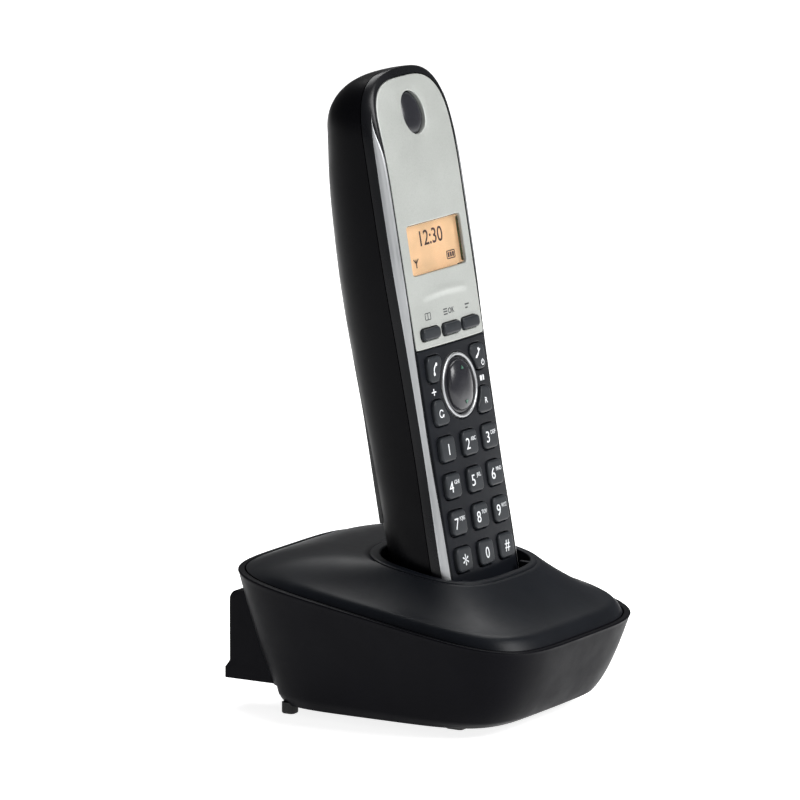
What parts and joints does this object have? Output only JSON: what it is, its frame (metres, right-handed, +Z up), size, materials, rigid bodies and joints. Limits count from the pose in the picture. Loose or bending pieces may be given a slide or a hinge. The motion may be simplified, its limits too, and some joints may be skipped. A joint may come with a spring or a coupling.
{
  "type": "cordless telephone with charging base",
  "caption": "Slim cordless telephone handset with keypad and small display, standing in a square-cornered charging base that slopes down to the front.",
  "frame": {"origin": "centre of the bounding box at table level, under the feet", "axes": "+Z up, -Y to the front where the keypad faces, +X to the right of someone facing the keypad"},
  "size_m": [0.087, 0.1036, 0.1878],
  "materials": {
    "handset_shell": "fine satin, near black",
    "face_panel": "satin light grey, faint metallic",
    "keypad_panel": "satin dark grey",
    "silver_trim": "satin silver paint",
    "key_cap": "soft matte dark grey",
    "gloss_black": "gloss black",
    "display_window": "clear window",
    "display_glow": "amber backlit display",
    "circuit_board": "solder-masked board",
    "mat_rubber": "silicone rubber",
    "foot_rubber": "matte rubber",
    "steel": "plated steel",
    "contact_gold": "plated spring metal",
    "cell_sleeve": "printed sleeve, plain",
    "base_cover": "satin near black",
    "base_housing": "fine texture, near black",
    "locator_cap": "satin dark grey",
    "socket_plastic": "matte black"
  },
  "bodies": {
    "base": {"base_top_cover": "base_cover", "base_lower_housing": "base_housing", "wall_bracket": "base_housing", "foot_front_left": "foot_rubber", "foot_front_right": "foot_rubber", "foot_rear_left": "foot_rubber", "foot_rear_right": "foot_rubber", "base_board": "circuit_board", "line_socket": "socket_plastic", "power_socket": "socket_plastic", "base_screw_left": "steel", "base_screw_right": "steel"},
    "handset": {"handset_front_shell": "handset_shell", "handset_rear_shell": "handset_shell", "face_panel": "face_panel", "keypad_panel": "keypad_panel", "trim_left": "silver_trim", "trim_right": "silver_trim", "display_lens": "display_window", "display_module": "display_glow", "earpiece_insert": "gloss_black", "earpiece_speaker": "steel", "ringer_speaker": "steel", "microphone": "steel", "keypad_mat": "mat_rubber", "handset_board": "circuit_board", "battery_left": "cell_sleeve", "battery_right": "cell_sleeve", "battery_terminal_left": "steel", "battery_terminal_right": "steel", "battery_bridge": "steel", "charge_contact_left": "contact_gold", "charge_contact_right": "contact_gold", "handset_screw_left": "steel", "handset_screw_right": "steel", "navigator_ring": "silver_trim"},
    "battery_door": {"battery_door": "handset_shell"},
    "navigator": {"navigator": "gloss_black"},
    "locator_button": {"locator_button": "locator_cap"},
    "cradle_contact_left": {"cradle_contact_left": "contact_gold"},
    "cradle_contact_right": {"cradle_contact_right": "contact_gold"},
    "key_1": {"key_1": "key_cap"},
    "key_2": {"key_2": "key_cap"},
    "key_3": {"key_3": "key_cap"},
    "key_4": {"key_4": "key_cap"},
    "key_5": {"key_5": "key_cap"},
    "key_6": {"key_6": "key_cap"},
    "key_7": {"key_7": "key_cap"},
    "key_8": {"key_8": "key_cap"},
    "key_9": {"key_9": "key_cap"},
    "key_star": {"key_star": "key_cap"},
    "key_0": {"key_0": "key_cap"},
    "key_hash": {"key_hash": "key_cap"},
    "talk_key": {"talk_key": "key_cap"},
    "off_key": {"off_key": "key_cap"},
    "redial_key": {"redial_key": "key_cap"},
    "flash_key": {"flash_key": "key_cap"},
    "soft_key_left": {"soft_key_left": "key_cap"},
    "soft_key_middle": {"soft_key_middle": "key_cap"},
    "soft_key_right": {"soft_key_right": "key_cap"}
  },
  "joints": [
    {"name": "handset_lift", "type": "slide", "parent": "base", "child": "handset", "axis": [0, 0.1736, 0.9848], "range_m": [0, 0.08]},
    {"name": "battery_door_pull", "type": "slide", "parent": "handset", "child": "battery_door", "axis": [0, 0.9848, -0.1736], "range_m": [0, 0.03]},
    {"name": "key_1_press", "type": "slide", "parent": "handset", "child": "key_1", "axis": [0, 0.9848, -0.1736], "range_m": [0, 0.0008], "stiffness_N_per_m": 400},
    {"name": "key_2_press", "type": "slide", "parent": "handset", "child": "key_2", "axis": [0, 0.9848, -0.1736], "range_m": [0, 0.0008], "stiffness_N_per_m": 400},
    {"name": "key_3_press", "type": "slide", "parent": "handset", "child": "key_3", "axis": [0, 0.9848, -0.1736], "range_m": [0, 0.0008], "stiffness_N_per_m": 400},
    {"name": "key_4_press", "type": "slide", "parent": "handset", "child": "key_4", "axis": [0, 0.9848, -0.1736], "range_m": [0, 0.0008], "stiffness_N_per_m": 400},
    {"name": "key_5_press", "type": "slide", "parent": "handset", "child": "key_5", "axis": [0, 0.9848, -0.1736], "range_m": [0, 0.0008], "stiffness_N_per_m": 400},
    {"name": "key_6_press", "type": "slide", "parent": "handset", "child": "key_6", "axis": [0, 0.9848, -0.1736], "range_m": [0, 0.0008], "stiffness_N_per_m": 400},
    {"name": "key_7_press", "type": "slide", "parent": "handset", "child": "key_7", "axis": [0, 0.9848, -0.1736], "range_m": [0, 0.0008], "stiffness_N_per_m": 400},
    {"name": "key_8_press", "type": "slide", "parent": "handset", "child": "key_8", "axis": [0, 0.9848, -0.1736], "range_m": [0, 0.0008], "stiffness_N_per_m": 400},
    {"name": "key_9_press", "type": "slide", "parent": "handset", "child": "key_9", "axis": [0, 0.9848, -0.1736], "range_m": [0, 0.0008], "stiffness_N_per_m": 400},
    {"name": "key_star_press", "type": "slide", "parent": "handset", "child": "key_star", "axis": [0, 0.9848, -0.1736], "range_m": [0, 0.0008], "stiffness_N_per_m": 400},
    {"name": "key_0_press", "type": "slide", "parent": "handset", "child": "key_0", "axis": [0, 0.9848, -0.1736], "range_m": [0, 0.0008], "stiffness_N_per_m": 400},
    {"name": "key_hash_press", "type": "slide", "parent": "handset", "child": "key_hash", "axis": [0, 0.9848, -0.1736], "range_m": [0, 0.0008], "stiffness_N_per_m": 400},
    {"name": "talk_key_press", "type": "slide", "parent": "handset", "child": "talk_key", "axis": [0, 0.9848, -0.1736], "range_m": [0, 0.0008], "stiffness_N_per_m": 400},
    {"name": "off_key_press", "type": "slide", "parent": "handset", "child": "off_key", "axis": [0, 0.9848, -0.1736], "range_m": [0, 0.0008], "stiffness_N_per_m": 400},
    {"name": "redial_key_press", "type": "slide", "parent": "handset", "child": "redial_key", "axis": [0, 0.9848, -0.1736], "range_m": [0, 0.0008], "stiffness_N_per_m": 400},
    {"name": "flash_key_press", "type": "slide", "parent": "handset", "child": "flash_key", "axis": [0, 0.9848, -0.1736], "range_m": [0, 0.0008], "stiffness_N_per_m": 400},
    {"name": "soft_key_left_press", "type": "slide", "parent": "handset", "child": "soft_key_left", "axis": [0, 0.9848, -0.1736], "range_m": [0, 0.0008], "stiffness_N_per_m": 400},
    {"name": "soft_key_middle_press", "type": "slide", "parent": "handset", "child": "soft_key_middle", "axis": [0, 0.9848, -0.1736], "range_m": [0, 0.0008], "stiffness_N_per_m": 400},
    {"name": "soft_key_right_press", "type": "slide", "parent": "handset", "child": "soft_key_right", "axis": [0, 0.9848, -0.1736], "range_m": [0, 0.0008], "stiffness_N_per_m": 400},
    {"name": "navigator_rock", "type": "hinge", "parent": "handset", "child": "navigator", "pos_m": [0, -0.00826, 0.09617], "axis": [1, 0, 0], "range_deg": [-4, 4], "stiffness_Nm_per_rad": 0.05},
    {"name": "locator_button_press", "type": "slide", "parent": "base", "child": "locator_button", "axis": [0, 0, -1], "range_m": [0, 0.001], "stiffness_N_per_m": 400},
    {"name": "cradle_contact_left_spring", "type": "slide", "parent": "base", "child": "cradle_contact_left", "axis": [0, 0.1736, 0.9848], "range_m": [-0.0008, 0], "stiffness_N_per_m": 400},
    {"name": "cradle_contact_right_spring", "type": "slide", "parent": "base", "child": "cradle_contact_right", "axis": [0, 0.1736, 0.9848], "range_m": [-0.0008, 0], "stiffness_N_per_m": 400}
  ]
}
